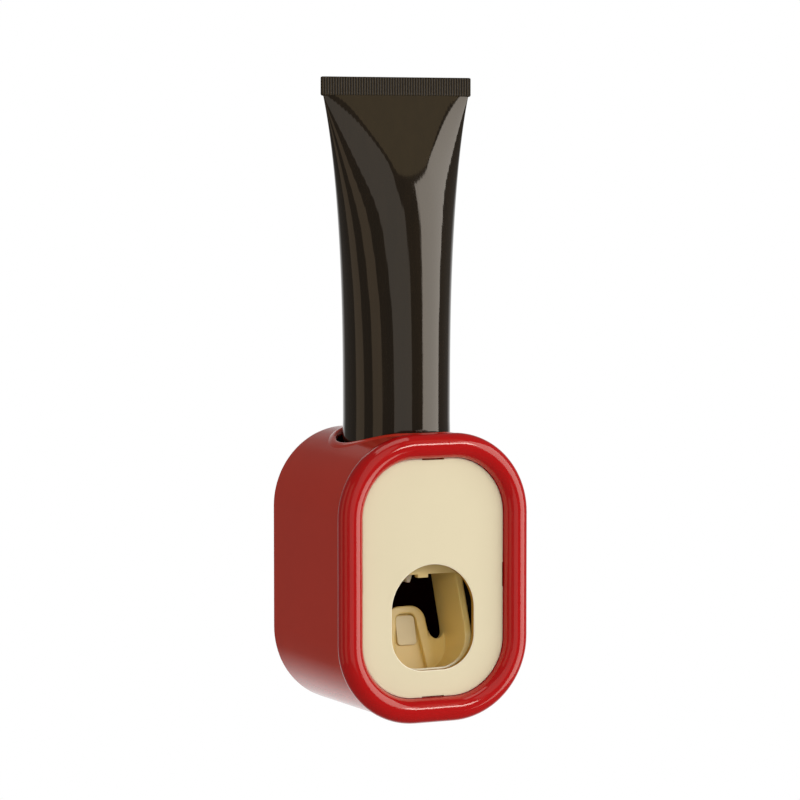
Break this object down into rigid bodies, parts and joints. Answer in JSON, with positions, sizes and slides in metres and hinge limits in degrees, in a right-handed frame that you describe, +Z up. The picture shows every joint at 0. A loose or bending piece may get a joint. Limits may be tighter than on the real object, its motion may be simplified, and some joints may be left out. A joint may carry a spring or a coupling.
{
  "type": "toothpaste dispenser",
  "caption": "Wall-mounted toothpaste dispenser with a brush-operated lever and pump, holding an upright tube in its top.",
  "frame": {"origin": "middle of the adhesive pad's back face, on the wall behind the middle of the body", "axes": "+Z up along the tube, +Y out of the back into the wall, so the front faces -Y; +X to the right seen from the front"},
  "size_m": [0.0718, 0.0623, 0.2225],
  "materials": {
    "red_shell": "moulded, glossy",
    "red_rim": "moulded, glossy",
    "cream_panel": "moulded, satin",
    "cream_inner": "moulded, satin",
    "cream_lever": "moulded, satin",
    "bumper_silicone": "moulded, matt",
    "bracket_plastic": "moulded, matt",
    "adhesive_foam": "closed-cell foam tape",
    "pump_plastic": "moulded, satin",
    "pump_trim": "moulded, satin",
    "silicone": "translucent silicone",
    "screw_steel": "zinc plated",
    "pin_steel": "ground",
    "spring_steel": "drawn wire",
    "tube_laminate": "glossy dark laminate",
    "tube_plastic": "moulded, satin"
  },
  "bodies": {
    "wall_mount": {"wall_bracket": "bracket_plastic", "adhesive_pad": "adhesive_foam"},
    "housing": {"outer_shell": "red_shell", "front_bezel": "red_rim", "rear_cover": "red_shell", "rear_screws": "screw_steel", "core_frame": "cream_inner", "frame_screws": "screw_steel", "pump_body": "pump_plastic", "pump_screws": "screw_steel", "channel_plug": "pump_trim", "tube_adapter": "silicone", "adapter_collar": "pump_trim", "inlet_valve": "silicone", "outlet_valve": "silicone", "nozzle_ring": "pump_trim", "pump_bulb": "silicone", "bulb_ring": "pump_trim", "pivot_pin_left": "pin_steel", "pivot_pin_right": "pin_steel", "return_spring_left": "spring_steel", "return_spring_right": "spring_steel"},
    "panel": {"front_panel": "cream_panel"},
    "lever_body": {"lever": "cream_lever", "brush_bumper": "bumper_silicone"},
    "tube": {"tube_sleeve": "tube_laminate", "tube_shoulder": "tube_plastic"}
  },
  "joints": [
    {"name": "housing_lift", "type": "slide", "parent": "wall_mount", "child": "housing", "axis": [0, 0, 1], "range_m": [0, 0.012]},
    {"name": "panel_pull", "type": "slide", "parent": "housing", "child": "panel", "axis": [0, -1, 0], "range_m": [0, 0.02]},
    {"name": "lever_press", "type": "hinge", "parent": "housing", "child": "lever_body", "pos_m": [0, -0.0305, 0.012], "axis": [1, 0, 0], "range_deg": [0, 22], "stiffness_Nm_per_rad": 0.15, "springref_deg": -22.92, "deforming": ["pump_bulb", "return_spring_left", "return_spring_right"]},
    {"name": "tube_lift", "type": "slide", "parent": "housing", "child": "tube", "axis": [0, 0, 1], "range_m": [0, 0.04]}
  ]
}
